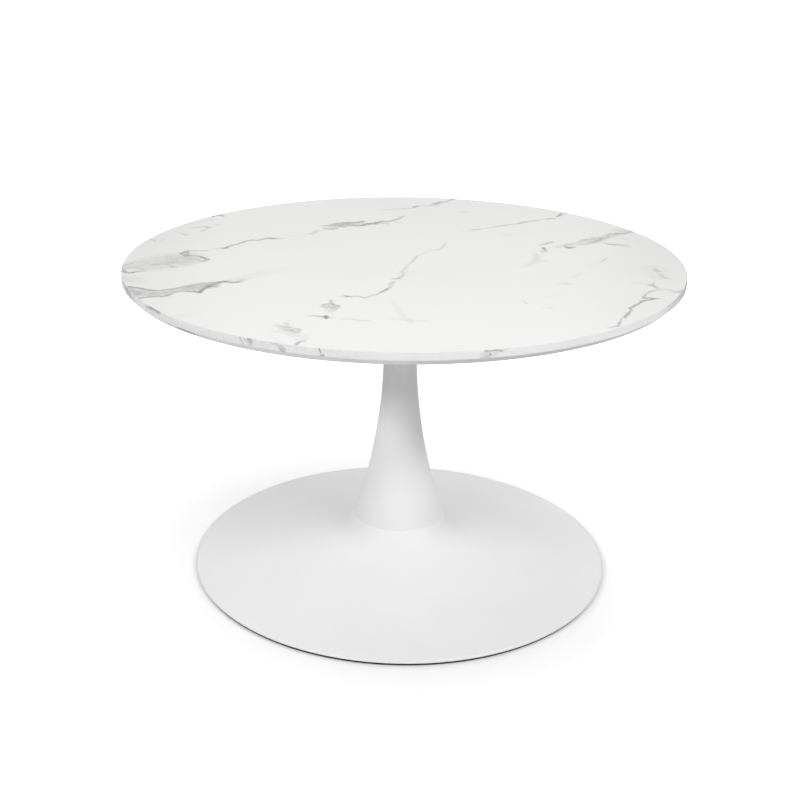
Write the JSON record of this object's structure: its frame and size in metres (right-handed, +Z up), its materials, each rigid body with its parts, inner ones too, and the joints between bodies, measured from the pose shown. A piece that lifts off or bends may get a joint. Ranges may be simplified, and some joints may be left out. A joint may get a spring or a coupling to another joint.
{
  "type": "round pedestal coffee table",
  "caption": "Low round table: bevelled stone-look laminate top on a white trumpet-shaped steel post and a wide flared round foot, clamped together by a hidden tie rod.",
  "frame": {"origin": "on the floor, on the axis of the post, at the bottom centre of the whole table", "axes": "+Z up along the axis of the post; the table is turned about it, so +X and +Y are free, and -Y faces the picture's camera"},
  "size_m": [0.7999, 0.8, 0.475],
  "materials": {
    "marble_print": "satin laminate printed as white marble with grey veins",
    "edge_print": "satin edge strip printed as white marble",
    "painted_board": "fibreboard, its bevel painted matt white",
    "backing_paper": "plain white balancing sheet",
    "white_steel": "fine-textured matt white powder coat",
    "black_steel": "matt black coated steel plate",
    "zinc_steel": "bright zinc plated",
    "black_rubber": "matt black rubber"
  },
  "bodies": {
    "root": {"marble_laminate": "marble_print", "edge_band": "edge_print", "tabletop_core": "painted_board", "backing_sheet": "backing_paper", "threaded_inserts": "zinc_steel", "top_plate": "white_steel", "plate_screws": "zinc_steel", "plate_washers": "zinc_steel", "neck_spigot": "white_steel", "anchor_nut": "zinc_steel", "post_shell": "white_steel", "centring_disc": "zinc_steel", "tie_rod": "zinc_steel", "rod_nut": "zinc_steel", "rod_lock_washer": "zinc_steel", "rod_washer": "zinc_steel", "base_cover": "white_steel", "crown_plate": "black_steel", "hub_tube": "black_steel", "bottom_plate": "black_steel", "floor_ring": "black_rubber"}
  },
  "joints": []
}
